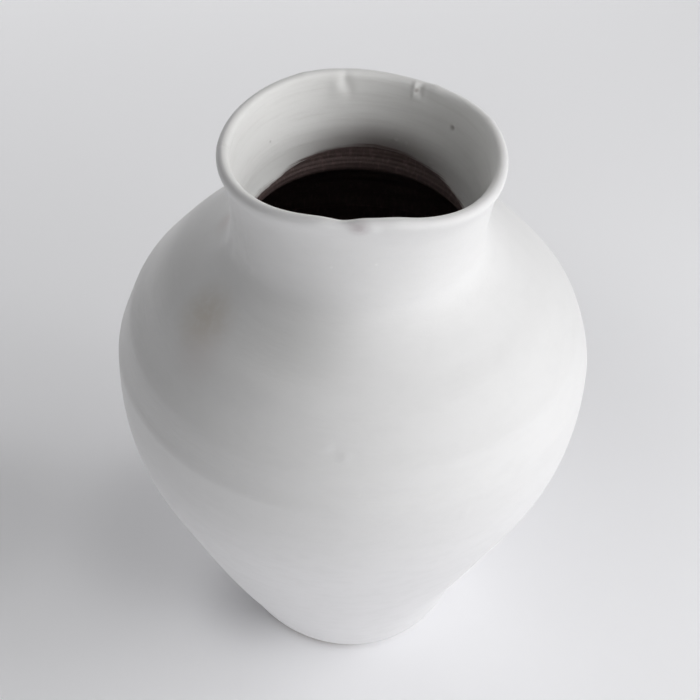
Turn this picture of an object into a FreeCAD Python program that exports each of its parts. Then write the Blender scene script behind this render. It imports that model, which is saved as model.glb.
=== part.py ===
import FreeCAD, Part
import math
import os

# A large white jar, thrown in sections and luted together, in millimetres with +Z up.
# The origin is on the floor, under the middle of the belly. The front of the jar faces -Y.

# Outside of the finished jar, over its white coat
foot_radius = 74.2
belly_radius = 150.2
belly_height = 225.0
shoulder_rise = 124.0
waist_radius = 75.4
neck_rise = 45.3
lip_radius = 77.6
lip_thickness = 7.4

# Sections and the slanting joints between them
foot_seam_height = 22.0
belly_seam_rise = 21.0
belly_seam_drop = 8.0
neck_seam_depth = 18.0
neck_seam_drop = 7.8
slip_thickness = 1.2

# Walls, throat and white coat
body_wall = 8.0
shoulder_wall = 8.0
throat_radius = 68.0
throat_depth = 21.4
throat_lip_depth = 3.6
throat_lip_width = 2.4
throat_swell_depth = 7.0
throat_swell_width = 12.4
coat_thickness = 0.8
coat_edge_width = 0.8
coat_edge_rise = 9.5

# Foot ring and floor of the jar
foot_ring_width = 13.0
foot_recess = 8.0
foot_rounding = 2.0
coat_foot_gap = 3.0
floor_height = 20.0
floor_radius = 40.0
floor_corner_height = 35.0

# Swellings that the thrower's fingers left on the outside
ring_swell = 1.0
ring_half_width = 7.0
ring_spacing = 25.0
first_ring_rise = 24.0
ring_count = 4
outline_step = 6.0

# How far the jar's middle lies to the right at the foot, above it and at the top
foot_shift = 3.5
lower_body_shift = -2.0
lower_body_height = 50.0
top_shift = 0.5
top_shift_rise = 65.0

# The uneven mouth: waves outwards and upwards
mouth_out_wave = 1.9
mouth_up_wave = 2.8

# Each wave of the mouth: how many times it comes around, its share of the wave's size, its turn in degrees
mouth_out_shares = [
    (2, 1.0, -5),
    (3, 0.75, -71),
    (4, 0.32, 168),
]
mouth_up_shares = [
    (1, 1.0, -98),
    (2, 0.41, 167),
    (3, 0.51, 68),
    (4, 0.33, 46),
]

# Lower body: shares of the belly's height, and of the way from the foot's radius out to the belly's
lower_body_shares = [
    (0.053, 0.061),
    (0.116, 0.122),
    (0.20, 0.219),
    (0.40, 0.471),
    (0.60, 0.703),
    (0.80, 0.918),
]

# Shoulder: shares of the way from the belly up to the waist, and from the belly in to the waist
shoulder_shares = [
    (0.298, 0.075),
    (0.524, 0.308),
    (0.653, 0.512),
    (0.782, 0.789),
    (0.911, 0.985),
]

# Outside of the neck: shares of the way from the waist up to the lip, and from the waist out to the lip
neck_shares = [
    (0.35, 0.07),
    (0.65, 0.27),
    (0.85, 0.60),
]

# Inside of the neck: shares of the way from the lip down to the coat's edge
neck_inside_shares = [0.25, 0.5, 0.75]

# Rounding between the wall and the floor inside: shares of the way up to the wall and in from it
floor_corner_shares = [
    (0.33, 0.28),
    (0.08, 0.62),
]

lip_angles = [-25, 15, 55, 90, 125, 150, 175]
foot_edge_angles = [-90, -60, -30]
turn_steps = 36
sewing_tolerance = 0.001

# Heights and radii that follow from the sizes above
waist_height = belly_height + shoulder_rise
lip_height = waist_height + neck_rise
belly_seam_height = belly_height + belly_seam_rise
neck_seam_height = waist_height - neck_seam_depth
throat_height = waist_height - throat_depth
coat_edge_height = throat_height + coat_edge_rise
well_radius = foot_radius - coat_thickness - foot_ring_width
underside_height = foot_recess + slip_thickness


def smooth_share(value, low, high):
    """0 below low, 1 above high, and a smooth rise between them."""
    share = min(1.0, max(0.0, (value - low) / (high - low)))
    return share * share * (3 - 2 * share)


def side_shift(height):
    """How far the jar's middle lies to the right at a height. The foot sits off the body's middle."""
    to_lower_body = smooth_share(height, 0, lower_body_height)
    to_top = smooth_share(height, lower_body_height, belly_height + top_shift_rise)
    lower_shift = foot_shift + (lower_body_shift - foot_shift) * to_lower_body
    return lower_shift + (top_shift - lower_body_shift) * to_top


def wave(shares, angle):
    """The sum of the waves around the mouth at an angle, as a share of their size."""
    return sum(share * math.cos(count * angle - math.radians(turn)) for count, share, turn in shares)


def place(radius, height, angle):
    """The point of the jar at a radius and height of its outline, with the mouth oval and its lip wavy."""
    share = smooth_share(height, throat_height, lip_height)
    out = radius + share * mouth_out_wave * wave(mouth_out_shares, angle)
    up = height + share * mouth_up_wave * wave(mouth_up_shares, angle)
    return FreeCAD.Vector(side_shift(height) + out * math.cos(angle), out * math.sin(angle), up)


def smooth_curve(points):
    """A smooth outline through (radius, height) points."""
    curve = Part.BSplineCurve()
    curve.interpolate([FreeCAD.Vector(radius, 0, height) for radius, height in points])
    return curve


def level_start_curve(points, end_direction):
    """A smooth outline that starts level and ends in a given direction."""
    curve = Part.BSplineCurve()
    curve.interpolate(
        Points=[FreeCAD.Vector(radius, 0, height) for radius, height in points],
        InitialTangent=FreeCAD.Vector(1, 0, 0), FinalTangent=end_direction)
    return curve


def arc_points(middle_radius, middle_height, size, angles):
    """Outline points on an arc."""
    points = []
    for degrees in angles:
        angle = math.radians(degrees)
        points.append((middle_radius + size * math.cos(angle), middle_height + size * math.sin(angle)))
    return points


def offset_points(points, distance):
    """Outline points moved square to the outline, to its left seen along it."""
    outline = smooth_curve(points)
    moved = []
    for point, knot in zip(points, outline.getKnots()):
        along = outline.tangent(knot)[0]
        moved.append((point[0] - distance * along.z, point[1] + distance * along.x))
    return moved


def fine_points(points):
    """More points on the same smooth outline, about one outline step apart."""
    outline = smooth_curve(points)
    knots = outline.getKnots()
    fine = []
    for start, end in zip(knots, knots[1:]):
        steps = max(1, round(outline.length(start, end) / outline_step))
        for step in range(steps):
            point = outline.value(start + (end - start) * step / steps)
            fine.append((point.x, point.z))
    fine.append(points[-1])
    return fine


def ringed_points(points):
    """Outline points with the swellings of the finger rings added."""
    ringed = []
    for radius, height in points:
        swell = 0
        for ring in range(ring_count):
            ring_height = belly_height + first_ring_rise + ring * ring_spacing
            away = (height - ring_height) / ring_half_width
            swell += ring_swell * math.exp(-away * away)
        ringed.append((radius + swell, height))
    return ringed


def outside_points():
    """The outside of the finished jar, from above the foot's edge to the lip."""
    points = [(foot_radius, coat_foot_gap)]
    for height_share, radius_share in lower_body_shares:
        points.append((
            foot_radius + radius_share * (belly_radius - foot_radius),
            height_share * belly_height))
    points.append((belly_radius, belly_height))
    for height_share, radius_share in shoulder_shares:
        points.append((
            belly_radius - radius_share * (belly_radius - waist_radius),
            belly_height + height_share * shoulder_rise))
    points.append((waist_radius, waist_height))
    lip_reach = lip_radius + lip_thickness / 2
    for height_share, radius_share in neck_shares:
        points.append((
            waist_radius + radius_share * (lip_reach - waist_radius),
            waist_height + height_share * neck_rise))
    return points


def mouth_points():
    """The finished lip and the coated inside of the neck, down to the coat's edge."""
    points = arc_points(lip_radius, lip_height, lip_thickness / 2, lip_angles)
    lip_inside = lip_radius - lip_thickness / 2
    coat_edge_radius = throat_radius + coat_edge_width
    for share in neck_inside_shares + [1.0]:
        points.append((
            lip_inside + share * (coat_edge_radius - lip_inside),
            lip_height + share * (coat_edge_height - lip_height)))
    return points


def inside_points(outside, start):
    """The bare inside, from the coat's edge over the throat and down the wall to the flat floor."""
    swell_height = throat_height - throat_swell_depth
    points = [start, (throat_radius, throat_height)]
    points.append((throat_radius + throat_lip_width, throat_height - throat_lip_depth))
    points.append((throat_radius + throat_swell_width, swell_height))
    for radius, height in reversed(offset_points(outside, shoulder_wall)):
        if belly_height < height < swell_height - shoulder_wall / 4:
            points.append((radius, height))
    for radius, height in reversed(offset_points(outside, body_wall)):
        if floor_corner_height < height <= belly_height:
            points.append((radius, height))
    wall_radius, wall_height = points[-1]
    for height_share, radius_share in floor_corner_shares:
        points.append((
            wall_radius + radius_share * (floor_radius - wall_radius),
            floor_height + height_share * (wall_height - floor_height)))
    points.append((floor_radius, floor_height))
    return points


def parameter_at(outline, height, low, high):
    """The place on an outline, between two parameters, where it reaches a height."""
    rising = outline.value(high).z > outline.value(low).z
    for step in range(60):
        middle = (low + high) / 2
        if (outline.value(middle).z < height) == rising:
            low = middle
        else:
            high = middle
    return (low + high) / 2


def cut_outline(outline, parameters):
    """The stretches of an outline between its start, the given parameters and its end."""
    marks = [outline.FirstParameter] + parameters + [outline.LastParameter]
    pieces = []
    for start, end in zip(marks, marks[1:]):
        piece = outline.copy()
        piece.segment(start, end)
        pieces.append(piece)
    return pieces


def ends(curve):
    """The first and the last point of an outline."""
    first = curve.value(curve.FirstParameter)
    last = curve.value(curve.LastParameter)
    return (first.x, first.z), (last.x, last.z)


def turned_face(curve):
    """The face that an outline leaves as it goes once around the jar."""
    turn = 2 * math.pi / turn_steps
    pole_share = 6 / (4 + 2 * math.cos(turn))
    rows = []
    for step in range(turn_steps):
        rows.append([place(pole.x * pole_share, pole.z, step * turn) for pole in curve.getPoles()])
    surface = Part.BSplineSurface()
    surface.buildFromPolesMultsKnots(
        rows, [1] * (turn_steps + 1), curve.getMultiplicities(),
        [float(step) for step in range(turn_steps + 1)], curve.getKnots(), True, False, 3, curve.Degree)
    return surface.toShape()


def ring_edges(inner_radius, outer_radius, height):
    """The inner and the outer edge of a level ring, as the turned faces have them."""
    ring = turned_face(smooth_curve([(inner_radius, height), (outer_radius, height)]))
    return sorted([edge for edge in ring.Edges if edge.isClosed()], key=lambda edge: edge.Length)


def disc_face(radius, height):
    """A flat round face whose edge matches the turned faces."""
    outer_edge = ring_edges(radius / 2, radius, height)[1]
    return Part.Face(Part.Wire([outer_edge]))


def flat_ring_face(inner_radius, outer_radius, height):
    """A flat ring whose edges match the turned faces."""
    inner_edge, outer_edge = ring_edges(inner_radius, outer_radius, height)
    return Part.Face([Part.Wire([outer_edge]), Part.Wire([inner_edge])])


def closed_solid(outlines, flats=()):
    """A solid closed by the faces that its outlines leave, and by flat faces."""
    shell = Part.makeShell([turned_face(outline) for outline in outlines] + list(flats))
    shell.sewShape(sewing_tolerance)
    if shell.ShapeType != "Shell":
        shell = shell.Shells[0]
    solid = Part.Solid(shell)
    if solid.Volume < 0:
        solid.reverse()
    return solid


# The finished outline, the clay's outline under the coat, and the bare inside
smooth_outside = outside_points()
finished_points = ringed_points(fine_points(smooth_outside + mouth_points()))
finished = smooth_curve(finished_points)
skin = smooth_curve(offset_points(finished_points, coat_thickness))
skin_start, skin_end = ends(skin)
inside = smooth_curve(inside_points(smooth_outside, skin_end))

# Where the joints cut the clay's outside, and where they come out inside
skin_top = skin.parameter(FreeCAD.Vector(lip_radius, 0, lip_height + lip_thickness))
half_slip = slip_thickness / 2
seam_marks = []
for seam_height in (foot_seam_height, belly_seam_height, neck_seam_height):
    for side in (-half_slip, half_slip):
        seam_marks.append(parameter_at(skin, seam_height + side, skin.FirstParameter, skin_top))
skin_stretches = cut_outline(skin, seam_marks)
foot_skin, foot_band, lower_skin, belly_band, upper_skin, neck_band, neck_skin = skin_stretches
inside_marks = []
for seam_height in (neck_seam_height - neck_seam_drop, belly_seam_height - belly_seam_drop):
    for side in (half_slip, -half_slip):
        inside_marks.append(parameter_at(
            inside, seam_height + side, inside.FirstParameter, inside.LastParameter))
inside_stretches = cut_outline(inside, inside_marks)
throat_inside, neck_inner_band, upper_inside, belly_inner_band, lower_inside = inside_stretches

# The slanting faces of the joints
foot_seat = smooth_curve([ends(foot_skin)[1], (well_radius, foot_recess)])
bowl_seat = smooth_curve([ends(lower_skin)[0], (well_radius, underside_height)])
foot_inner_band = smooth_curve([(well_radius, foot_recess), (well_radius, underside_height)])
belly_lower_seat = smooth_curve([ends(lower_skin)[1], ends(lower_inside)[0]])
belly_upper_seat = smooth_curve([ends(upper_skin)[0], ends(upper_inside)[1]])
neck_lower_seat = smooth_curve([ends(upper_skin)[1], ends(upper_inside)[0]])
neck_upper_seat = smooth_curve([ends(neck_skin)[0], ends(throat_inside)[1]])

# The foot ring's rounded edges, flat sole and inner wall
foot_edge_points = arc_points(skin_start[0] - foot_rounding, foot_rounding, foot_rounding, foot_edge_angles)
foot_edge = level_start_curve(foot_edge_points + [skin_start], skin.tangent(skin.FirstParameter)[0])
sole_inner_radius = well_radius + foot_rounding / 2
sole_outer_radius = foot_edge_points[0][0]
well_start = (well_radius, foot_rounding / 2)
foot_inner_edge = smooth_curve([well_start, (sole_inner_radius, 0)])
foot_well = smooth_curve([(well_radius, foot_recess), well_start])

# The coat's edges at the foot and in the neck
coat_foot_edge = smooth_curve([ends(finished)[0], skin_start])
coat_neck_edge = smooth_curve([ends(finished)[1], skin_end])

nodes = {
    "foot_ring": closed_solid(
        [foot_edge, foot_skin, foot_seat, foot_well, foot_inner_edge],
        [flat_ring_face(sole_inner_radius, sole_outer_radius, 0)]),
    "foot_seam_slip": closed_solid([foot_band, bowl_seat, foot_inner_band, foot_seat]),
    "lower_bowl": closed_solid(
        [bowl_seat, lower_skin, belly_lower_seat, lower_inside],
        [disc_face(well_radius, underside_height), disc_face(floor_radius, floor_height)]),
    "belly_seam_slip": closed_solid([belly_band, belly_upper_seat, belly_inner_band, belly_lower_seat]),
    "upper_bowl": closed_solid([upper_skin, neck_lower_seat, upper_inside, belly_upper_seat]),
    "neck_seam_slip": closed_solid([neck_band, neck_upper_seat, neck_inner_band, neck_lower_seat]),
    "neck_collar": closed_solid([neck_skin, throat_inside, neck_upper_seat]),
    "white_coat": closed_solid([
        finished, coat_neck_edge, neck_skin, neck_band, upper_skin, belly_band,
        lower_skin, foot_band, foot_skin, coat_foot_edge]),
}

os.makedirs("parts", exist_ok=True)
for name, solid in nodes.items():
    if not solid.isValid():
        raise ValueError(name + " is not a valid solid")
    solid.exportStep(os.path.join("parts", name + ".step"))
    print(name, round(solid.Volume), "mm3", solid.BoundBox)
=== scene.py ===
import math

import bpy
import numpy as np
from mathutils import Euler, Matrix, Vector


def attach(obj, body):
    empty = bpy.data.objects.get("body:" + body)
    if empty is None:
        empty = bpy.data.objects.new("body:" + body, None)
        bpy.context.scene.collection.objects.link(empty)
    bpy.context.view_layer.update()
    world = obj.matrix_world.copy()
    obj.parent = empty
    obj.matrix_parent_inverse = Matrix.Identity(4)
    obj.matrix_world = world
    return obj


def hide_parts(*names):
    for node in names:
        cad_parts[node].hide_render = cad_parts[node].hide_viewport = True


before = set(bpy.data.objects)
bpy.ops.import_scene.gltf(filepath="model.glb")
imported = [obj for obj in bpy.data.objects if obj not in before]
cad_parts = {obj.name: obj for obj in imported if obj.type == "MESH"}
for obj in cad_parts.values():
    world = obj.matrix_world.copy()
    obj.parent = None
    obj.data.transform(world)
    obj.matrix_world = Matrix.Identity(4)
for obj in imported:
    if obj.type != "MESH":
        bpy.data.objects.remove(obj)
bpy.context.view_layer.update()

# A large white jar, in metres with +Z up, standing on the floor. Its front faces -Y.
# The outline's sizes are those of the frame.
foot_radius = 0.0742
belly_radius = 0.1500
belly_height = 0.225
shoulder_rise = 0.124
waist_radius = 0.0754
neck_rise = 0.0453
lip_radius = 0.0776
lip_thickness = 0.0074

foot_seam_height = 0.022
belly_seam_height = 0.246
belly_seam_drop = 0.008
neck_seam_height = 0.331
neck_seam_drop = 0.0078
slip_thickness = 0.0012

wall_thickness = 0.008
coat_thickness = 0.0008
coat_foot_gap = 0.003
coat_edge_radius = 0.0688
coat_edge_height = 0.3371
throat_radius = 0.068
throat_height = 0.3276
throat_lip_depth = 0.0036
throat_lip_width = 0.0024
throat_swell_depth = 0.007
throat_swell_width = 0.0124

foot_ring_width = 0.013
foot_recess = 0.008
foot_rounding = 0.002
floor_height = 0.020
floor_radius = 0.040
floor_corner_height = 0.035

foot_shift = 0.0035
lower_body_shift = -0.002
lower_body_height = 0.05
top_shift = 0.0005
top_shift_height = 0.29

# Waves of the mouth, out and up: how many go around it, their share and their turn in degrees
mouth_out_wave = 0.0019
mouth_up_wave = 0.0027
mouth_out_shares = [(2, 1.0, -5), (3, 0.75, -71), (4, 0.32, 168)]
mouth_up_shares = [(1, 1.0, -98), (2, 0.41, 167), (3, 0.51, 68), (4, 0.33, 46)]

# Points on the way from one place of the outline to the next: shares of the height and of the radius
lower_body_shares = [
    (0.053, 0.061), (0.116, 0.122), (0.20, 0.219),
    (0.40, 0.471), (0.60, 0.703), (0.80, 0.918),
]
shoulder_shares = [(0.298, 0.075), (0.524, 0.308), (0.653, 0.512), (0.782, 0.789), (0.911, 0.985)]
neck_shares = [(0.35, 0.07), (0.65, 0.27), (0.85, 0.60)]
neck_inside_shares = [0.25, 0.5, 0.75]
floor_corner_shares = [(0.33, 0.28), (0.08, 0.62)]
lip_angles = [-25, 15, 55, 90, 125, 150, 175]

waist_height = belly_height + shoulder_rise
lip_height = waist_height + neck_rise
well_radius = foot_radius - coat_thickness - foot_ring_width
underside_height = foot_recess + slip_thickness

# How finely the meshes are cut: points around the jar
fine_turn_steps = 720
turn_steps = 360
coarse_turn_steps = 240
back_turn_steps = 180

# Along the outline, and from one ring of points to the next on each face
line_step = 0.0001
coat_body_step = 0.0066
coat_shoulder_step = 0.0020
coat_neck_step = 0.0024
coat_lip_step = 0.0011
coat_inside_steps = [(0, 0.25, 0.0016), (0.25, 0.6, 0.0026), (0.6, 1, 0.0009)]
coat_back_inside_step = 0.012
coat_back_step = 0.010
foot_step = 0.003
lower_bowl_step = 0.006
upper_bowl_step = 0.004
collar_step = 0.003
throat_step = 0.0015
bare_throat_step = 0.0005
wall_step = 0.0035

# Points of the outline from one of the wall's to the next, and those that wall and throat share
wall_point_gap = 60
wall_overlap = 12

# Rings of points across the joints and under the jar
foot_joint_rings = 5
belly_joint_rings = 2
neck_joint_rings = 3
underside_rings = 16
foot_well_rings = 3
foot_edge_angles = [-90, -68, -45, -22]
pole_radius = 0.001
sharp_angle = math.radians(50)

# Where the coat's mesh is cut finer: above the belly, up to the root of the neck, and under the lip
coat_shoulder_rise = 0.010
coat_neck_drop = 0.004
coat_lip_run = 0.010
bare_throat_rise = 0.010

# Ridges that the thrower's fingers left outside: height, swell, half width and how soft the crest is
finger_rings = [
    (0.2480, 0.0018, 0.0080, 0.30),
    (0.2718, 0.0023, 0.0085, 0.30),
    (0.3000, 0.0012, 0.0090, 0.40),
    (0.3260, 0.0012, 0.0065, 0.20),
    (0.3470, 0.0003, 0.0060, 0.50),
]
ring_strong_side = math.radians(-128)
ring_weak_share = 0.42

# Patches of the outside: height, angle in degrees, size up the wall, size around it and swell
outside_marks = [
    (0.3130, -148, 0.0100, 0.0600, -0.0011),
    (0.3020, -112, 0.0070, 0.0400, 0.0010),
    (0.2820, -160, 0.0080, 0.0600, -0.0004),
    (0.2680, 178, 0.0260, 0.0700, -0.0009),
    (0.3090, -50, 0.0060, 0.0700, -0.0006),
    (0.2830, -94.2, 0.0022, 0.0036, -0.0003),
    (0.2806, -91.0, 0.0014, 0.0026, 0.0006),
    (0.2854, -95.5, 0.0012, 0.0028, 0.0005),
    (0.2372, -63.0, 0.0016, 0.0012, 0.0005),
]

# Streaks of thicker coat that run down from the neck: the same numbers
coat_streaks = [
    (0.3720, -149.0, 0.0090, 0.0022, 0.0008),
    (0.3600, -151.0, 0.0070, 0.0018, 0.0010),
    (0.3520, -147.5, 0.0060, 0.0020, 0.0010),
    (0.3450, -141.0, 0.0060, 0.0028, 0.0008),
    (0.3640, -156.0, 0.0080, 0.0020, 0.0009),
    (0.3510, -158.0, 0.0080, 0.0024, 0.0010),
    (0.3400, -157.0, 0.0070, 0.0032, 0.0008),
    (0.3440, -166.0, 0.0100, 0.0040, 0.0010),
    (0.3320, -168.0, 0.0080, 0.0060, 0.0010),
    (0.3600, -143.0, 0.0080, 0.0020, 0.0006),
]

# Marks of the lip and the neck's inside: distance in from the lip's top, and then the same numbers
mouth_marks = [
    (0.0060, 99.0, 0.0060, 0.0030, -0.0009),
    (0.0120, 97.0, 0.0060, 0.0034, -0.0008),
    (0.0100, 103.5, 0.0060, 0.0040, 0.0007),
    (0.0055, 62.0, 0.0036, 0.0022, -0.0016),
    (0.0060, 65.2, 0.0045, 0.0016, 0.0008),
    (0.0105, 62.5, 0.0020, 0.0030, 0.0006),
    (0.0075, 57.5, 0.0045, 0.0035, -0.0006),
    (-0.001, 55.5, 0.0040, 0.0040, 0.0006),
    (0.0205, 40.8, 0.0018, 0.0018, -0.0014),
    (0.0205, 40.8, 0.0036, 0.0034, 0.0008),
    (0.0350, 141.2, 0.0008, 0.0008, -0.0002),
    (0.0010, -175.5, 0.0022, 0.0012, -0.0006),
    (0.0, -74, 0.0060, 0.0105, 0.0008),
    (0.0, -97, 0.0050, 0.0080, -0.0020),
    (-0.002, 21, 0.0040, 0.0030, 0.0004),
    (-0.002, 118, 0.0040, 0.0035, 0.0003),
    (0.0460, 72.5, 0.0013, 0.0016, 0.0006),
    (0.0550, 51.5, 0.0013, 0.0020, 0.0006),
    (0.0465, 67.0, 0.0010, 0.0011, 0.0004),
]

# Rings inside the neck: height, swell and half width
neck_rings = [
    (0.3318, 0.0004, 0.0030),
    (0.3520, 0.00015, 0.0030),
    (0.3610, 0.00020, 0.0040),
    (0.3740, 0.00020, 0.0045),
]

# Grooves in the bare clay of the throat: height, depth and half width
throat_grooves = [
    (0.3420, 0.0004, 0.0009),
    (0.3388, 0.0003, 0.0007),
    (0.3360, 0.0007, 0.0010),
    (0.3333, 0.0005, 0.0007),
    (0.3305, 0.0004, 0.0007),
]

# The coat's uneven edge in the neck: angle in degrees and height, and the ripples along it
coat_edge_marks = [
    (20, 0.3322), (32, 0.3343), (44, 0.3364), (51, 0.3390), (62, 0.3412),
    (72, 0.3432), (82, 0.3440), (91, 0.3432), (101, 0.3418), (110, 0.3402),
    (118, 0.3392), (125, 0.3378), (132, 0.3355), (140, 0.3330), (150, 0.3335),
    (190, 0.3340), (235, 0.3350), (280, 0.3320), (330, 0.3320),
]
coat_edge_ripple = 0.00015
coat_edge_ripple_shares = [(17, 1.0, 40), (37, 0.6, 200), (71, 0.4, 95)]
coat_edge_smoothing = 25
coat_edge_taper = 0.0035
coat_edge_share = 0.25
# The haze near the coat's edge in the neck is thin coat and painted shade of the deep neck
coat_haze_and_shade_reach = 0.0305
coat_haze_and_shade_width = 0.086
outside_cover = 1.5

# Throwing rings inside the bowls
inside_ring_swell = 0.0005
inside_ring_spacing = 0.018


# The outline

def smooth_share(value, low, high):
    """0 below low, 1 above high, and a smooth rise between them."""
    share = np.clip((value - low) / (high - low), 0, 1)
    return share * share * (3 - 2 * share)


def smooth_line(points):
    """A fine line of points on the smooth curve through the given points."""
    points = np.array(points, float)
    gaps = np.hypot(*np.diff(points, axis=0).T)
    reach = np.concatenate([[0], np.cumsum(gaps)])
    count = len(points)
    matrix = np.eye(count)
    pulls = np.zeros((count, 2))
    for row in range(1, count - 1):
        before, after = gaps[row - 1], gaps[row]
        matrix[row, row - 1:row + 2] = before, 2 * (before + after), after
        ahead = (points[row + 1] - points[row]) / after
        behind = (points[row] - points[row - 1]) / before
        pulls[row] = 6 * (ahead - behind)
    bends = np.linalg.solve(matrix, pulls)
    places = np.linspace(0, reach[-1], int(reach[-1] / line_step) + 2)
    piece = np.clip(np.searchsorted(reach, places, side="right") - 1, 0, count - 2)
    gap = gaps[piece][:, None]
    to_end = (reach[piece + 1] - places)[:, None]
    from_start = (places - reach[piece])[:, None]
    line = bends[piece] * to_end ** 3 / (6 * gap) + bends[piece + 1] * from_start ** 3 / (6 * gap)
    line += (points[piece] / gap - bends[piece] * gap / 6) * to_end
    line += (points[piece + 1] / gap - bends[piece + 1] * gap / 6) * from_start
    return line


def line_normals(line):
    """Unit vectors square to a line, to its right seen along it."""
    along = np.gradient(line, axis=0)
    along /= np.hypot(*along.T)[:, None]
    return np.stack([along[:, 1], -along[:, 0]], axis=1)


def line_reach(line):
    """How far along a line each of its points lies."""
    return np.concatenate([[0], np.cumsum(np.hypot(*np.diff(line, axis=0).T))])


def outside_points():
    """The outside of the jar, from above the foot's edge to just under the lip."""
    points = [(foot_radius, coat_foot_gap)]
    for height_share, radius_share in lower_body_shares:
        points.append((
            foot_radius + radius_share * (belly_radius - foot_radius),
            height_share * belly_height))
    points.append((belly_radius, belly_height))
    for height_share, radius_share in shoulder_shares:
        points.append((
            belly_radius - radius_share * (belly_radius - waist_radius),
            belly_height + height_share * shoulder_rise))
    points.append((waist_radius, waist_height))
    lip_reach = lip_radius + lip_thickness / 2
    for height_share, radius_share in neck_shares:
        points.append((
            waist_radius + radius_share * (lip_reach - waist_radius),
            waist_height + height_share * neck_rise))
    return points


def mouth_points():
    """The lip and the inside of the neck, down into the throat."""
    points = []
    for degrees in lip_angles:
        angle = math.radians(degrees)
        points.append((
            lip_radius + lip_thickness / 2 * math.cos(angle),
            lip_height + lip_thickness / 2 * math.sin(angle)))
    lip_inside = lip_radius - lip_thickness / 2
    for share in neck_inside_shares + [1.0]:
        points.append((
            lip_inside + share * (coat_edge_radius - lip_inside),
            lip_height + share * (coat_edge_height - lip_height)))
    throat = throat_radius - coat_thickness
    points.append((throat, throat_height))
    points.append((throat + throat_lip_width, throat_height - throat_lip_depth + coat_thickness / 2))
    points.append((throat + throat_swell_width, throat_height - throat_swell_depth))
    return points


smooth_outside = smooth_line(outside_points())
finished_line = smooth_line(outside_points() + mouth_points())
clay_line = finished_line - coat_thickness * line_normals(finished_line)
clay_normals = line_normals(clay_line)
clay_reach = line_reach(clay_line)
clay_columns = [clay_line[:, 0], clay_line[:, 1], clay_normals[:, 0], clay_normals[:, 1]]
lip_top = int(np.argmax(clay_line[:, 1]))
lip_place = clay_reach[lip_top]


def wall_points():
    """The bare inside of the bowls, from under the throat down the wall and over the flat floor."""
    inner = smooth_outside - wall_thickness * line_normals(smooth_outside)
    points = [tuple(clay_line[-wall_overlap]), tuple(clay_line[-1])]
    top = clay_line[-1][1] - wall_thickness / 4
    for number in range(len(inner) - 1, 0, -wall_point_gap):
        if floor_corner_height < inner[number][1] < top:
            points.append(tuple(inner[number]))
    wall_radius, wall_height = points[-1]
    for height_share, radius_share in floor_corner_shares:
        points.append((
            wall_radius + radius_share * (floor_radius - wall_radius),
            floor_height + height_share * (wall_height - floor_height)))
    return points + [(radius, floor_height) for radius in (floor_radius, floor_radius / 2, pole_radius)]


wall_line = smooth_line(wall_points())
wall_normals = line_normals(wall_line)
wall_reach = line_reach(wall_line)
wall_columns = [wall_line[:, 0], wall_line[:, 1], wall_normals[:, 0], wall_normals[:, 1]]


def mark_outside(height):
    """How far along the clay's line it reaches a height on the outside."""
    return float(np.interp(height, clay_line[:lip_top, 1], clay_reach[:lip_top]))


def mark_inside(height):
    """How far along the clay's line it comes down to a height in the neck."""
    return np.interp(height, clay_line[lip_top:, 1][::-1], clay_reach[lip_top:][::-1])


def mark_wall(height):
    """How far along the wall's line it comes down to a height in the bowls."""
    return float(np.interp(height, wall_line[:, 1][::-1], wall_reach[::-1]))


# Points around the jar

def turn_angles(steps):
    return np.arange(steps) * (2 * math.pi / steps)


def side_shift(height):
    """How far the jar's middle lies to the right at a height."""
    to_lower_body = smooth_share(height, 0, lower_body_height)
    to_top = smooth_share(height, lower_body_height, top_shift_height)
    lower_shift = foot_shift + (lower_body_shift - foot_shift) * to_lower_body
    return lower_shift + (top_shift - lower_body_shift) * to_top


def wave(shares, angle):
    """The sum of the waves around the mouth."""
    return sum(share * np.cos(count * angle - math.radians(turn)) for count, share, turn in shares)


def place(radius, height, angle):
    """Points of the jar, with its middle shifted, the mouth oval and the lip wavy."""
    share = smooth_share(height, throat_height, lip_height)
    out = radius + share * mouth_out_wave * wave(mouth_out_shares, angle)
    up = height + share * mouth_up_wave * wave(mouth_up_shares, angle)
    return np.stack([side_shift(height) + out * np.cos(angle), out * np.sin(angle), up], axis=1)


def hill(away_squared):
    return np.exp(-away_squared)


def turn_between(angle, degrees):
    """The turn from a mark to each angle, the short way around."""
    return (angle - math.radians(degrees) + math.pi) % (2 * math.pi) - math.pi


def marks_relief(marks, radius, height, angle):
    """How far marks on the outside stand out."""
    relief = np.zeros_like(angle)
    for mark_height, degrees, up_size, around_size, swell in marks:
        around = turn_between(angle, degrees) * radius / around_size
        relief += swell * hill(((height - mark_height) / up_size) ** 2 + around ** 2)
    return relief


def outside_relief(radius, height, angle):
    """How far the outside stands out of its smooth outline."""
    relief = np.zeros_like(angle)
    strong = ((1 + np.cos(angle - ring_strong_side)) / 2) ** 2
    for ring_height, swell, half_width, softness in finger_rings:
        away = np.sqrt(((height - ring_height) / half_width) ** 2 + softness ** 2) - softness
        relief += swell * np.exp(-away) * (ring_weak_share + (1 - ring_weak_share) * strong)
    return relief + marks_relief(outside_marks, radius, height, angle)


def neck_relief(down, height, angle):
    """How far the lip and the inside of the neck stand out of their smooth outline."""
    relief = np.zeros_like(angle)
    for ring_height, swell, half_width in neck_rings:
        relief += swell * hill(((height - ring_height) / half_width) ** 2) * (down > lip_thickness)
    for mark_down, degrees, down_size, around_size, swell in mouth_marks:
        around = turn_between(angle, degrees) * lip_radius / around_size
        relief += swell * hill(((down - mark_down) / down_size) ** 2 + around ** 2)
    return relief


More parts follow.
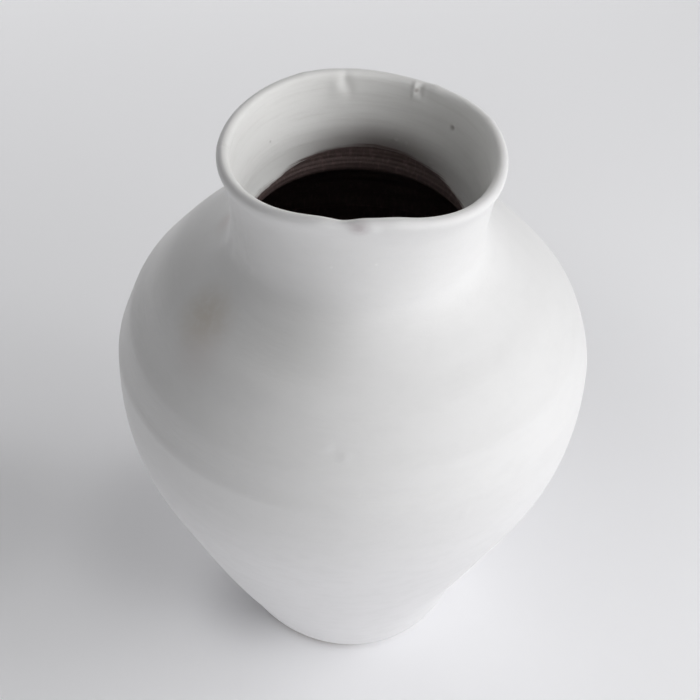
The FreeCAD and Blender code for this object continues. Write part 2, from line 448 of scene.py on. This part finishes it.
def skin_ring(places, steps, lift=0.0, coated=False):
    """The points around the jar on the clay's skin, a distance along its line, lifted off it. The coat
    has streaks and fills the throat's grooves."""
    angle = turn_angles(steps)
    places = np.broadcast_to(places, angle.shape)
    radius, height, out, up = [np.interp(places, clay_reach, column) for column in clay_columns]
    down = places - lip_place
    relief = lift + np.where(down < 0, outside_relief(radius, height, angle), 0)
    relief = relief + neck_relief(down, height, angle)
    if coated:
        relief = relief + np.where(down < 0, marks_relief(coat_streaks, radius, height, angle), 0)
    else:
        for groove_height, depth, half_width in throat_grooves:
            groove = depth * hill(((height - groove_height) / half_width) ** 2)
            relief = relief - groove * (down > lip_thickness)
    return place(radius + relief * out, height + relief * up, angle)


def wall_ring(reach, steps):
    """The points around the jar on the bare wall inside, with the throwing rings."""
    angle = turn_angles(steps)
    radius, height, out, up = [
        np.full(steps, np.interp(reach, wall_reach, column)) for column in wall_columns]
    turn = 2 * math.pi * reach / inside_ring_spacing + angle
    fade = smooth_share(reach, 0, inside_ring_spacing) * smooth_share(radius, 0, floor_radius)
    relief = inside_ring_swell * np.sin(turn) * fade
    return place(radius + relief * out, height + relief * up, angle)


def plain_ring(radius, height, steps):
    """The points around the jar at a radius and a height."""
    return place(np.full(steps, radius), np.full(steps, height), turn_angles(steps))


def steps_between(start, end, step):
    """Places from start to end, about a step apart."""
    return np.linspace(start, end, max(2, int(math.ceil(abs(end - start) / step)) + 1))


def rings_between(first, last, count):
    """Rings on the straight way between two rings, without these."""
    return [first + (last - first) * number / (count + 1) for number in range(1, count + 1)]


def turned_mesh(name, rings, capped=False):
    """A closed mesh through rings of points, in a loop around the piece's section or between two caps.
    A ring may have twice or half as many points as the next."""
    starts = [int(start) for start in np.cumsum([0] + [len(ring) for ring in rings])]
    faces = []
    for number in range(len(rings) - 1 if capped else len(rings)):
        after = (number + 1) % len(rings)
        low, high = len(rings[number]), len(rings[after])
        a, b = starts[number], starts[after]
        if low == high:
            faces += [(a + i, a + (i + 1) % low, b + (i + 1) % low, b + i) for i in range(low)]
        elif high > low:
            faces += [
                (a + i, a + (i + 1) % low, b + (2 * i + 2) % high, b + 2 * i + 1, b + 2 * i)
                for i in range(low)]
        else:
            faces += [
                (a + 2 * i, a + 2 * i + 1, a + (2 * i + 2) % low, b + (i + 1) % high, b + i)
                for i in range(high)]
    if capped:
        faces.append(tuple(range(starts[1] - 1, -1, -1)))
        faces.append(tuple(range(starts[-2], starts[-1])))
    mesh = bpy.data.meshes.new(name)
    mesh.from_pydata(np.concatenate(rings).tolist(), [], faces)
    mesh.polygons.foreach_set("use_smooth", [True] * len(mesh.polygons))
    mesh.set_sharp_from_angle(angle=sharp_angle)
    piece = bpy.data.objects.new(name, mesh)
    bpy.context.scene.collection.objects.link(piece)
    return piece


def finish_piece(piece, node, material):
    piece.data.materials.append(material)
    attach(piece, "root")
    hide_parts(node)


# Materials

# Noises: waves to the metre, how many times closer up the jar, detail and roughness
cloud_noise = (11, 2.5, 3, 0.5)
blotch_noise = (60, 2.2, 4, 0.6)
ragged_noise = (150, 1.5, 4, 0.6)
band_noise = (22, 14.0, 4, 0.6)
edge_noise = (30, 18.0, 4, 0.6)
turning_noise = (9, 12.0, 3, 0.5)
fibre_noise = (130, 3.5, 4, 0.55)
coat_grain_noise = (900, 1.5, 3, 0.6)
clay_noise = (60, 5.0, 5, 0.6)
clay_streak_noise = (480, 0.3, 3, 0.6)
clay_line_noise = (90, 9.0, 4, 0.6)
clay_grain_noise = (900, 1.0, 4, 0.7)

# Smooth changes: where each starts and ends, and what it gives there
# Low on the body the coat is painted paler, as light bounced up from the floor
lower_body_bounce_change = (0.17, 0.25, 0.75, 0.0)
blotch_change = (0.42, 0.68, 0.0, 0.20)
ragged_change = (0.2, 0.6, 0.5, 1.0)
neck_cover_change = (1.0, 1.3, 0.85, 0.0)
band_change = (0.45, 0.72, 0.0, 0.24)
# The haze is thin coat over clay and painted shade deep in the neck
haze_and_shade_cover_change = (0.0, 1.0, 1.0, 0.0)
edge_streak_change = (0.25, 0.75, -0.06, 0.06)
edge_cover_change = (-0.02, 0.12, 0.0, 1.0)
clay_streak_change = (0.45, 0.8, 0.0, 0.5)
# Painted light on the foot's clay, paler towards its lit side
foot_painted_light_change = (0.0, 0.5, 0.0, 1.0)

# Bumps: strength and height
turning_bump = (0.3, 0.002)
fibre_bump = (0.25, 0.0006)
coat_grain_bump = (0.2, 0.0002)
clay_line_bump = (0.4, 0.0008)
clay_grain_bump = (0.5, 0.0004)

# Colours of the coat and of the bare clay
coat_shade = (0.838, 0.834, 0.834, 1)
coat_light = (0.875, 0.873, 0.876, 1)
# Paler white low on the body: painted light of the floor's bounce
lower_body_bounce_white = (0.925, 0.920, 0.932, 1)
blotch_grey = (0.80, 0.798, 0.80, 1)
neck_white = (0.945, 0.942, 0.925, 1)
band_grey = (0.70, 0.69, 0.67, 1)
# Thin coat and painted shade deep in the neck
haze_brown_and_shade = (0.23, 0.205, 0.20, 1)
edge_brown = (0.13, 0.09, 0.085, 1)
# Pale colour painted on the foot's lit side, lightening the crevice's shade
foot_painted_light_white = (0.84, 0.835, 0.835, 1)
bare_clay_colours = [(0.050, 0.033, 0.031, 1), (0.105, 0.072, 0.068, 1)]
foot_clay_colours = [(0.14, 0.10, 0.085, 1), (0.20, 0.15, 0.13, 1)]
bare_slip_colours = [(0.070, 0.048, 0.044, 1), (0.130, 0.090, 0.084, 1)]
clay_streak_paleness = 1.7
coat_roughness = 0.75
clay_roughness = 0.7
specular_level = 0.3


def new_material(name):
    material = bpy.data.materials.new(name)
    material.use_nodes = True
    return material, material.node_tree, material.node_tree.nodes["Principled BSDF"]


def object_coordinates(tree):
    return tree.nodes.new("ShaderNodeTexCoord").outputs["Object"]


def fill_sockets(tree, pairs):
    """Links a node's output, or writes a plain value, into each socket."""
    for value, socket in pairs:
        if isinstance(value, bpy.types.NodeSocket):
            tree.links.new(value, socket)
        else:
            socket.default_value = value


def noise_node(tree, coordinates, waves, stretch, detail, roughness):
    """Noise with so many waves to the metre, closer up the jar by the stretch."""
    mapping = tree.nodes.new("ShaderNodeMapping")
    mapping.inputs["Scale"].default_value = (waves, waves, waves * stretch)
    tree.links.new(coordinates, mapping.inputs["Vector"])
    noise = tree.nodes.new("ShaderNodeTexNoise")
    noise.inputs["Scale"].default_value = 1.0
    noise.inputs["Detail"].default_value = detail
    noise.inputs["Roughness"].default_value = roughness
    tree.links.new(mapping.outputs["Vector"], noise.inputs["Vector"])
    return noise.outputs["Fac"]


def mix_colour(tree, factor, first, second):
    mix = tree.nodes.new("ShaderNodeMix")
    mix.data_type = "RGBA"
    fill_sockets(tree, [(factor, mix.inputs[0]), (first, mix.inputs[6]), (second, mix.inputs[7])])
    return mix.outputs[2]


def smooth_change(tree, value, low, high, to_low, to_high):
    """A value's smooth change from one number at low to another at high."""
    change = tree.nodes.new("ShaderNodeMapRange")
    change.interpolation_type = "SMOOTHSTEP"
    change.inputs["From Min"].default_value = low
    change.inputs["From Max"].default_value = high
    change.inputs["To Min"].default_value = to_low
    change.inputs["To Max"].default_value = to_high
    tree.links.new(value, change.inputs["Value"])
    return change.outputs["Result"]


def combine(tree, operation, first, second):
    node = tree.nodes.new("ShaderNodeMath")
    node.operation = operation
    fill_sockets(tree, [(first, node.inputs[0]), (second, node.inputs[1])])
    return node.outputs["Value"]


def near_point(tree, coordinates, point, size):
    """1 at a point and 0 from a size away."""
    away = tree.nodes.new("ShaderNodeVectorMath")
    away.operation = "DISTANCE"
    tree.links.new(coordinates, away.inputs[0])
    away.inputs[1].default_value = point
    return smooth_change(tree, away.outputs["Value"], 0, size, 1.0, 0.0)


def bump_node(tree, height, strength, distance, normal=None):
    bump = tree.nodes.new("ShaderNodeBump")
    bump.inputs["Strength"].default_value = strength
    bump.inputs["Distance"].default_value = distance
    tree.links.new(height, bump.inputs["Height"])
    if normal is not None:
        tree.links.new(normal, bump.inputs["Normal"])
    return bump.outputs["Normal"]


def outside_point(height, degrees):
    """The point of the coat's outside at a height and an angle."""
    radius = float(np.interp(mark_outside(height), clay_reach, clay_line[:, 0])) + coat_thickness
    return place(np.array([radius]), np.array([height]), np.array([math.radians(degrees)]))[0]


def neck_point(down, degrees):
    """The point of the lip or the neck's inside, a distance down from the lip's top."""
    radius, height, out, up = [
        np.interp([lip_place + down], clay_reach, column) for column in clay_columns]
    return place(
        radius + coat_thickness * out,
        height + coat_thickness * up,
        np.array([math.radians(degrees)]))[0]


# Stains on the coat, and painted shade: the point, the size, the colour and how strongly it shows
warm_stain = (0.60, 0.53, 0.44, 1)
pink_stain = (0.66, 0.56, 0.54, 1)
purple_stain = (0.50, 0.44, 0.46, 1)
# The grey is painted shadow of the neck and lip, falling on the left shoulder and neck
neck_shadow_grey = (0.62, 0.62, 0.61, 1)
# The dark speck is painted shade inside the small pits of the lip and the neck
pit_shade_dark = (0.20, 0.16, 0.14, 1)
grey_speck = (0.45, 0.43, 0.42, 1)
pale_speck = (0.95, 0.95, 0.95, 1)
soft_stains_and_neck_shadow = [
    # The grey patches are painted shadow of the neck on the left shoulder; the pink ones are stains
    (outside_point(0.322, -110), 0.048, neck_shadow_grey, 0.42),
    (outside_point(0.354, -150), 0.034, neck_shadow_grey, 0.30),
    (outside_point(0.310, -135), 0.060, neck_shadow_grey, 0.12),
    (outside_point(0.302, -140), 0.026, pink_stain, 0.20),
    (outside_point(0.333, 176), 0.014, pink_stain, 0.25),
]
ragged_stains_and_pit_shade = [
    (outside_point(0.3125, -147), 0.028, warm_stain, 0.50),
    (neck_point(-0.0045, -90), 0.0085, purple_stain, 0.60),
    (neck_point(-0.0045, -83), 0.0050, pale_speck, 0.60),
    (outside_point(0.368, -82), 0.0013, pale_speck, 0.8),
    (outside_point(0.365, -101), 0.0013, pale_speck, 0.8),
    (outside_point(0.237, -63), 0.0012, grey_speck, 0.4),
    (neck_point(0.0350, 141.2), 0.0014, grey_speck, 0.5),
    # The dark specks are painted shade in the pits of the neck's crater and the lip's scar
    (neck_point(0.0207, 41.2), 0.0028, pit_shade_dark, 0.60),
    (neck_point(0.0052, 63.9), 0.0024, pit_shade_dark, 0.60),
]
# Middle of the haze: thin coat, and painted shade where the neck's back wall gets less light
haze_and_shade_middle = neck_point(0.050, 76)

# Painted light on the foot's clay: paler on its lit right side, around a point on the floor
foot_painted_light_middle = (0.085, -0.03, 0)
foot_painted_light_size = 0.14


def finish_shader(tree, shader, colour, roughness, normal):
    tree.links.new(colour, shader.inputs["Base Color"])
    tree.links.new(normal, shader.inputs["Normal"])
    shader.inputs["Roughness"].default_value = roughness
    shader.inputs["Specular IOR Level"].default_value = specular_level


def white_coat_material():
    """White, paler low on the body as painted bounce light, stained and with painted shade, banded in the
    neck, and hazy with thin coat and painted shade, then brown at its edge.
    """
    material, tree, shader = new_material("white_coat")
    coordinates = object_coordinates(tree)
    clouds = noise_node(tree, coordinates, *cloud_noise)
    colour = mix_colour(tree, clouds, coat_shade, coat_light)
    height = tree.nodes.new("ShaderNodeSeparateXYZ")
    tree.links.new(coordinates, height.inputs["Vector"])
    # Painted bounce light: the coat is paler low on the body
    low = smooth_change(tree, height.outputs["Z"], *lower_body_bounce_change)
    colour = mix_colour(tree, low, colour, lower_body_bounce_white)
    blotches = smooth_change(tree, noise_node(tree, coordinates, *blotch_noise), *blotch_change)
    colour = mix_colour(tree, blotches, colour, blotch_grey)

    cover = tree.nodes.new("ShaderNodeAttribute")
    cover.attribute_name = "coat_cover"
    cover = cover.outputs["Fac"]
    inside = smooth_change(tree, cover, *neck_cover_change)
    colour = mix_colour(tree, inside, colour, neck_white)
    bands = smooth_change(tree, noise_node(tree, coordinates, *band_noise), *band_change)
    colour = mix_colour(tree, combine(tree, "MULTIPLY", bands, inside), colour, band_grey)

    ragged = smooth_change(tree, noise_node(tree, coordinates, *ragged_noise), *ragged_change)
    # Soft stains, and the painted shadow of the neck on the shoulder
    for point, size, mark_colour, strength in soft_stains_and_neck_shadow:
        near = near_point(tree, coordinates, point, size)
        colour = mix_colour(tree, combine(tree, "MULTIPLY", near, strength), colour, mark_colour)
    # Ragged stains, and painted shade in the pits
    for point, size, mark_colour, strength in ragged_stains_and_pit_shade:
        near = combine(tree, "MULTIPLY", near_point(tree, coordinates, point, size), ragged)
        colour = mix_colour(tree, combine(tree, "MULTIPLY", near, strength), colour, mark_colour)

    # Haze near the coat's edge in the neck: thin coat over clay, and painted shade deep in the neck
    haze_and_shade = smooth_change(tree, cover, *haze_and_shade_cover_change)
    near = near_point(tree, coordinates, haze_and_shade_middle, coat_haze_and_shade_width)
    colour = mix_colour(tree, combine(tree, "MULTIPLY", haze_and_shade, near), colour, haze_brown_and_shade)
    streaks = smooth_change(tree, noise_node(tree, coordinates, *edge_noise), *edge_streak_change)
    thick = smooth_change(tree, combine(tree, "ADD", cover, streaks), *edge_cover_change)
    colour = mix_colour(tree, thick, edge_brown, colour)

    normal = bump_node(tree, noise_node(tree, coordinates, *turning_noise), *turning_bump)
    normal = bump_node(tree, noise_node(tree, coordinates, *fibre_noise), *fibre_bump, normal)
    normal = bump_node(tree, noise_node(tree, coordinates, *coat_grain_noise), *coat_grain_bump, normal)
    finish_shader(tree, shader, colour, coat_roughness, normal)
    return material


def clay_material(name, dark, light, painted_light=False):
    """Dark bare clay with paler streaks and turning lines, and with painted light, paler on the lit side,
    where asked.
    """
    material, tree, shader = new_material(name)
    coordinates = object_coordinates(tree)
    colour = mix_colour(tree, noise_node(tree, coordinates, *clay_noise), dark, light)
    streaks = smooth_change(tree, noise_node(tree, coordinates, *clay_streak_noise), *clay_streak_change)
    paler = tuple(clay_streak_paleness * value for value in light[:3]) + (1,)
    colour = mix_colour(tree, streaks, colour, paler)
    # Painted light: paler on the foot's lit side, over the shade of the crevice under the coat
    if painted_light:
        near = near_point(tree, coordinates, foot_painted_light_middle, foot_painted_light_size)
        colour = mix_colour(tree, smooth_change(tree, near, *foot_painted_light_change), colour, foot_painted_light_white)
    normal = bump_node(tree, noise_node(tree, coordinates, *clay_line_noise), *clay_line_bump)
    normal = bump_node(tree, noise_node(tree, coordinates, *clay_grain_noise), *clay_grain_bump, normal)
    finish_shader(tree, shader, colour, clay_roughness, normal)
    return material


coat_material = white_coat_material()
bare_clay = clay_material("bare_clay", *bare_clay_colours)
foot_clay = clay_material("foot_clay", *foot_clay_colours, painted_light=True)
bare_slip = clay_material("bare_slip", *bare_slip_colours)


# The pieces

def coat_edge_places():
    """How far along the clay's line the coat ends in the neck, around the jar."""
    degrees, heights = zip(*coat_edge_marks)
    angle = turn_angles(fine_turn_steps)
    height = np.interp(np.degrees(angle), degrees, heights, period=360)
    around = np.concatenate([height[-coat_edge_smoothing:], height, height[:coat_edge_smoothing]])
    width = 2 * coat_edge_smoothing + 1
    height = np.convolve(around, np.full(width, 1 / width), mode="valid")
    return mark_inside(height + coat_edge_ripple * wave(coat_edge_ripple_shares, angle))


def coat_rings():
    """The coat's outer face up the outside, over the lip and down the neck, and back along the clay.
    With each ring comes the share of its full cover, which is more than 1 outside the neck."""
    shoulder = mark_outside(belly_height + coat_shoulder_rise)
    neck_foot = mark_outside(waist_height - coat_neck_drop)
    lip_start = lip_place - coat_lip_run
    edge = coat_edge_places()
    runs = [
        (0, shoulder, coat_body_step, turn_steps),
        (shoulder, neck_foot, coat_shoulder_step, turn_steps),
        (neck_foot, lip_start, coat_neck_step, turn_steps),
        (lip_start, lip_place, coat_lip_step, fine_turn_steps),
    ]
    rings = []
    covers = []
    for start, end, step, steps in runs:
        for reach in steps_between(start, end, step)[:-1]:
            rings.append(skin_ring(reach, steps, coat_thickness, coated=True))
            covers.append(np.full(steps, outside_cover))
    length = float(np.mean(edge)) - lip_place
    shares = [steps_between(start, end, step / length)[:-1] for start, end, step in coat_inside_steps]
    for share in np.concatenate(shares + [[1]]):
        places = lip_place + share * (edge - lip_place)
        taper = smooth_share(edge - places, 0, coat_edge_taper)
        lift = coat_thickness * (coat_edge_share + (1 - coat_edge_share) * taper)
        rings.append(skin_ring(places, fine_turn_steps, lift, coated=True))
        covers.append(np.clip((edge - places) / coat_haze_and_shade_reach, 0, 1))
    back = lip_place + (edge - lip_place)[::2]
    rings.append(skin_ring(back, turn_steps))
    covers.append(np.zeros(turn_steps))
    back = back[::2]
    for share in steps_between(1, 0, coat_back_inside_step / length)[1:]:
        rings.append(skin_ring(lip_place + share * (back - lip_place), back_turn_steps))
        covers.append(np.zeros(back_turn_steps))
    for reach in steps_between(lip_place, 0, coat_back_step)[1:]:
        rings.append(skin_ring(reach, back_turn_steps))
        covers.append(np.zeros(back_turn_steps))
    rings.append(skin_ring(0, turn_steps))
    covers.append(np.zeros(turn_steps))
    return rings, np.concatenate(covers)


def skin_run(start, end, step, steps):
    return [skin_ring(reach, steps) for reach in steps_between(start, end, step)]


def wall_run(start, end, step, steps):
    return [wall_ring(reach, steps) for reach in steps_between(start, end, step)]


def seam_marks(mark, height):
    """How far along a line a joint's slip starts and ends, at a height."""
    return [float(mark(height + side * slip_thickness / 2)) for side in (-1, 1)]


foot_marks = seam_marks(mark_outside, foot_seam_height)
belly_marks = seam_marks(mark_outside, belly_seam_height)
neck_marks = seam_marks(mark_outside, neck_seam_height)
belly_inner_marks = seam_marks(mark_wall, belly_seam_height - belly_seam_drop)
throat_marks = seam_marks(mark_inside, neck_seam_height - neck_seam_drop)


def joint_rings(low, high, inner_high, inner_low, count):
    """Around a joint's slip: up its outer edge, in along its top, down its inner edge and back out."""
    return (
        [low, high] + rings_between(high, inner_high, count)
        + [inner_high, inner_low] + rings_between(inner_low, low, count))


def foot_ring_rings():
    """Around the rounded edge, up under the coat, in along the joint, down the recess and out again."""
    steps = coarse_turn_steps
    start = clay_line[0][0] - foot_rounding
    edge = []
    for degrees in foot_edge_angles:
        angle = math.radians(degrees)
        edge.append(plain_ring(
            start + foot_rounding * math.cos(angle),
            foot_rounding + foot_rounding * math.sin(angle),
            steps))
    skin = skin_run(0, foot_marks[0], foot_step, steps)
    well_top = plain_ring(well_radius, foot_recess, steps)
    well_foot = plain_ring(well_radius, foot_rounding / 2, steps)
    sole = plain_ring(well_radius + foot_rounding / 2, 0, steps)
    return (
        edge + skin + rings_between(skin[-1], well_top, foot_joint_rings)
        + [well_top] + rings_between(well_top, well_foot, foot_well_rings)
        + [well_foot, sole] + rings_between(sole, edge[0], foot_well_rings))


def foot_slip_rings():
    low, high = [skin_ring(reach, coarse_turn_steps) for reach in foot_marks]
    inner_high = plain_ring(well_radius, underside_height, coarse_turn_steps)
    inner_low = plain_ring(well_radius, foot_recess, coarse_turn_steps)
    return joint_rings(low, high, inner_high, inner_low, foot_joint_rings)


def lower_bowl_rings():
    """Out over the underside, up the outside, in along the joint, down the wall and in over the floor."""
    steps = coarse_turn_steps
    middle = plain_ring(pole_radius, underside_height, steps)
    edge = plain_ring(well_radius, underside_height, steps)
    skin = skin_run(foot_marks[1], belly_marks[0], lower_bowl_step, steps)
    wall = wall_run(belly_inner_marks[0], wall_reach[-1], wall_step, steps)
    return (
        [middle] + rings_between(middle, edge, underside_rings)
        + [edge] + rings_between(edge, skin[0], foot_joint_rings)
        + skin + rings_between(skin[-1], wall[0], belly_joint_rings) + wall)


def belly_slip_rings():
    low, high = [skin_ring(reach, coarse_turn_steps) for reach in belly_marks]
    inner_low, inner_high = [wall_ring(reach, coarse_turn_steps) for reach in belly_inner_marks]
    return joint_rings(low, high, inner_high, inner_low, belly_joint_rings)


def upper_bowl_rings():
    """Up the outside, in along the joint, down the throat and the wall, and out along the belly's joint."""
    steps = coarse_turn_steps
    skin = skin_run(belly_marks[1], neck_marks[0], upper_bowl_step, steps)
    throat = skin_run(throat_marks[0], clay_reach[-1], throat_step, steps)
    wall = wall_run(wall_reach[wall_overlap], belly_inner_marks[1], wall_step, steps)
    return (
        skin + rings_between(skin[-1], throat[0], neck_joint_rings)
        + throat + wall + rings_between(wall[-1], skin[0], belly_joint_rings))


def neck_slip_rings():
    low, high = [skin_ring(reach, coarse_turn_steps) for reach in neck_marks]
    inner_low, inner_high = [skin_ring(reach, coarse_turn_steps) for reach in throat_marks]
    return joint_rings(low, high, inner_high, inner_low, neck_joint_rings)


def collar_rings():
    """Up under the coat, down through the throat and back out along the slanting seat."""
    bare = float(mark_inside(coat_edge_height + bare_throat_rise))
    skin = skin_run(neck_marks[1], bare, collar_step, turn_steps)[:-1]
    throat = skin_run(bare, throat_marks[1], bare_throat_step, turn_steps)
    return skin + throat + rings_between(throat[-1], skin[0], neck_joint_rings)


rings, covers = coat_rings()
coat = turned_mesh("coat", rings)
cover_values = coat.data.attributes.new("coat_cover", "FLOAT", "POINT").data
cover_values.foreach_set("value", covers.astype(np.float32))
finish_piece(coat, "white_coat", coat_material)
finish_piece(turned_mesh("collar", collar_rings()), "neck_collar", bare_clay)
finish_piece(turned_mesh("neck_slip", neck_slip_rings()), "neck_seam_slip", bare_slip)
finish_piece(turned_mesh("shoulder_bowl", upper_bowl_rings()), "upper_bowl", bare_clay)
finish_piece(turned_mesh("belly_slip", belly_slip_rings()), "belly_seam_slip", bare_slip)
finish_piece(turned_mesh("floor_bowl", lower_bowl_rings(), capped=True), "lower_bowl", bare_clay)
finish_piece(turned_mesh("foot_slip", foot_slip_rings()), "foot_seam_slip", bare_slip)
finish_piece(turned_mesh("foot", foot_ring_rings()), "foot_ring", foot_clay)


# Floor, light and camera

# Lamps around the jar: angle in degrees, degrees above the floor, and watts
lamps = [
    (0, 54, 4.6),
    (0, 32, 6.5),
    (330, 32, 7.4),
    (300, 8, 2.7),
    (270, 32, 2.1),
    (270, 12, 2.4),
    (150, 12, 5.1),
    (120, 12, 2.0),
    (90, 12, 6.4),
]
lamp_size = 1.0
lamp_distance = 1.6
lamp_aim = Vector((0, 0, 0.2))

floor_reach = 4.0
floor_colour = (0.79, 0.79, 0.808, 1)
floor_roughness = 0.9
floor_specular_level = 0.1
floor_glow_colour = (0.985, 0.985, 1, 1)
# The floor's glow also lights the jar from below, as bounced light would
floor_glow = 0.176

# Painted shadows of the jar in the floor's glow: the point, the radius and how dark
floor_painted_shadows = [
    ((-0.134, 0.026, 0), 0.147, 0.59),
    ((-0.064, -0.025, 0), 0.078, 1.0),
    ((-0.300, 0.030, 0), 0.140, 0.31),
    ((0.126, 0.142, 0), 0.360, 0.52),
]

all_around_light = 0.01
backdrop_colour = (0.72, 0.72, 0.73, 1)

camera_pitch = math.radians(45.114)
camera_roll = math.radians(2.225)
camera_distance = 0.9097
camera_aim = Vector((-0.00175, 0, 0.23206))
camera_lens = 72
camera_sensor = 36
camera_near = 0.05


def make_floor():
    """A pale floor that glows a little, and less at its painted shadows of the jar."""
    material, tree, shader = new_material("floor")
    shader.inputs["Base Color"].default_value = floor_colour
    shader.inputs["Roughness"].default_value = floor_roughness
    shader.inputs["Specular IOR Level"].default_value = floor_specular_level
    shader.inputs["Emission Color"].default_value = floor_glow_colour
    coordinates = object_coordinates(tree)
    glow = floor_glow
    # Painted shadows: the glow is dimmed near the jar
    for point, radius, depth in floor_painted_shadows:
        near = near_point(tree, coordinates, point, radius)
        glow = combine(tree, "MULTIPLY", smooth_change(tree, near, 0, 1, 1.0, 1.0 - depth), glow)
    tree.links.new(glow, shader.inputs["Emission Strength"])
    corners = [
        (-floor_reach, -floor_reach, 0), (floor_reach, -floor_reach, 0),
        (floor_reach, floor_reach, 0), (-floor_reach, floor_reach, 0)]
    mesh = bpy.data.meshes.new("floor")
    mesh.from_pydata(corners, [], [(0, 1, 2, 3)])
    floor = bpy.data.objects.new("floor", mesh)
    bpy.context.scene.collection.objects.link(floor)
    mesh.materials.append(material)


def make_lights():
    for number, (degrees, rise, watts) in enumerate(lamps):
        data = bpy.data.lights.new("lamp_%d" % number, "AREA")
        data.size = lamp_size
        data.energy = watts
        lamp = bpy.data.objects.new("lamp_%d" % number, data)
        bpy.context.scene.collection.objects.link(lamp)
        turn, up = math.radians(degrees), math.radians(rise)
        away = Vector((math.cos(up) * math.cos(turn), math.cos(up) * math.sin(turn), math.sin(up)))
        lamp.location = lamp_aim + lamp_distance * away
        lamp.rotation_euler = (-away).to_track_quat("-Z", "Y").to_euler()
        lamp.visible_camera = False


def make_world():
    """A faint light from all around, and a pale background for the camera."""
    world = bpy.data.worlds.new("world")
    bpy.context.scene.world = world
    world.use_nodes = True
    tree = world.node_tree
    faint = tree.nodes["Background"]
    faint.inputs["Color"].default_value = (1, 1, 1, 1)
    faint.inputs["Strength"].default_value = all_around_light
    pale = tree.nodes.new("ShaderNodeBackground")
    pale.inputs["Color"].default_value = backdrop_colour
    pale.inputs["Strength"].default_value = 1.0
    path = tree.nodes.new("ShaderNodeLightPath")
    seen = combine(tree, "MAXIMUM", path.outputs["Is Camera Ray"], path.outputs["Is Glossy Ray"])
    seen = combine(tree, "MAXIMUM", seen, path.outputs["Is Transmission Ray"])
    mix = tree.nodes.new("ShaderNodeMixShader")
    tree.links.new(seen, mix.inputs[0])
    tree.links.new(faint.outputs["Background"], mix.inputs[1])
    tree.links.new(pale.outputs["Background"], mix.inputs[2])
    tree.links.new(mix.outputs["Shader"], tree.nodes["World Output"].inputs["Surface"])


def make_camera():
    data = bpy.data.cameras.new("camera")
    data.lens = camera_lens
    data.sensor_width = camera_sensor
    data.clip_start = camera_near
    camera = bpy.data.objects.new("camera", data)
    bpy.context.scene.collection.objects.link(camera)
    back = Vector((0, -math.cos(camera_pitch), math.sin(camera_pitch)))
    camera.location = camera_aim + camera_distance * back
    tilt = Euler((math.pi / 2 - camera_pitch, 0, 0)).to_matrix()
    roll = Euler((0, 0, camera_roll)).to_matrix()
    camera.rotation_euler = (tilt @ roll).to_euler()
    bpy.context.scene.camera = camera


make_floor()
make_lights()
make_world()
make_camera()
bpy.context.scene.view_settings.view_transform = "Standard"
